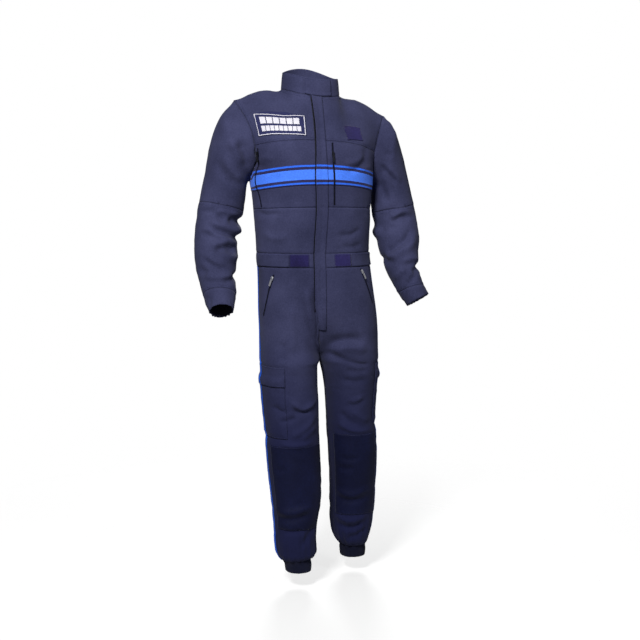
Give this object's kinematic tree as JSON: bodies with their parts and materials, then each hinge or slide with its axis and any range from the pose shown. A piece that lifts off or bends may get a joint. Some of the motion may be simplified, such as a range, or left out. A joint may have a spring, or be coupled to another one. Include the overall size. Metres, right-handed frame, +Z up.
{
  "type": "police uniform",
  "caption": "Navy one-piece police coverall, filled out as worn with nobody in it, with a striped chest tape, knee patches, cargo pockets and rib-knit ankles.",
  "frame": {"origin": "base of the neck, where the wearer's shoulders hold the garment", "axes": "+Z up, -Y to the front, +X to the wearer's left"},
  "size_m": [0.6879, 0.2747, 1.496],
  "materials": {
    "navy_twill": "matt polycotton twill",
    "rib_knit": "knitted rib",
    "striped_tape": "woven tape, blue stripes on navy",
    "blue_braid": "flat woven braid",
    "badge": "navy patch with a white border and plain white blocks",
    "loop_pile": "loop side of hook-and-loop tape",
    "knee_cloth": "matt reinforced twill",
    "zip_metal": "nickel-plated zinc",
    "zip_tape": "woven polyester zip tape with nylon teeth"
  },
  "bodies": {
    "garment": {"ankle_rib_left": "rib_knit", "ankle_rib_right": "rib_knit", "back_tape": "striped_tape", "body_back": "navy_twill", "cargo_flap_left": "navy_twill", "cargo_flap_right": "navy_twill", "cargo_pocket_left": "navy_twill", "cargo_pocket_right": "navy_twill", "chest_badge": "badge", "chest_front_left": "navy_twill", "chest_front_right": "navy_twill", "chest_slider_left": "zip_metal", "chest_slider_right": "zip_metal", "chest_tape_left": "striped_tape", "chest_tape_right": "striped_tape", "chest_zip_left": "zip_tape", "chest_zip_right": "zip_tape", "collar": "navy_twill", "collar_tab": "navy_twill", "cuff_left": "navy_twill", "cuff_right": "navy_twill", "flap_tape": "striped_tape", "front_zip": "zip_tape", "hip_slider_left": "zip_metal", "hip_slider_right": "zip_metal", "hip_zip_left": "zip_tape", "hip_zip_right": "zip_tape", "knee_patch_left": "knee_cloth", "knee_patch_right": "knee_cloth", "leg_back_left": "navy_twill", "leg_back_right": "navy_twill", "leg_front_left": "navy_twill", "leg_front_right": "navy_twill", "rank_loop": "loop_pile", "side_braid_left": "blue_braid", "side_braid_right": "blue_braid", "sleeve_lower_left": "navy_twill", "sleeve_lower_right": "navy_twill", "sleeve_upper_left": "navy_twill", "sleeve_upper_right": "navy_twill", "storm_flap": "navy_twill", "waist_front_left": "navy_twill", "waist_front_right": "navy_twill", "waist_loop_left": "loop_pile", "waist_loop_right": "loop_pile", "waist_tab_left": "navy_twill", "waist_tab_right": "navy_twill", "waistband_back": "navy_twill", "waistband_front_left": "navy_twill", "waistband_front_right": "navy_twill", "yoke_back": "navy_twill", "yoke_front_left": "navy_twill", "yoke_front_right": "navy_twill"},
    "chest_pull_right_tab": {"chest_pull_right": "zip_metal"},
    "chest_pull_left_tab": {"chest_pull_left": "zip_metal"},
    "hip_pull_right_tab": {"hip_pull_right": "zip_metal"},
    "hip_pull_left_tab": {"hip_pull_left": "zip_metal"}
  },
  "joints": [
    {"name": "chest_pull_right_hinge", "type": "hinge", "parent": "garment", "child": "chest_pull_right_tab", "pos_m": [-0.17574, -0.06588, -0.1837], "axis": [-0.7657, 0.6391, -0.0716], "range_deg": [-2.7, 152.3]},
    {"name": "chest_pull_left_hinge", "type": "hinge", "parent": "garment", "child": "chest_pull_left_tab", "pos_m": [0.0342, -0.12447, -0.18402], "axis": [-0.999, 0.0003, -0.0454], "range_deg": [0, 155]},
    {"name": "hip_pull_right_hinge", "type": "hinge", "parent": "garment", "child": "hip_pull_right_tab", "pos_m": [-0.13379, -0.06438, -0.5405], "axis": [-0.6814, 0.63, 0.3726], "range_deg": [-4, 151]},
    {"name": "hip_pull_left_hinge", "type": "hinge", "parent": "garment", "child": "hip_pull_left_tab", "pos_m": [0.13187, -0.09561, -0.52271], "axis": [-0.7686, -0.4687, -0.4354], "range_deg": [0, 155]}
  ]
}
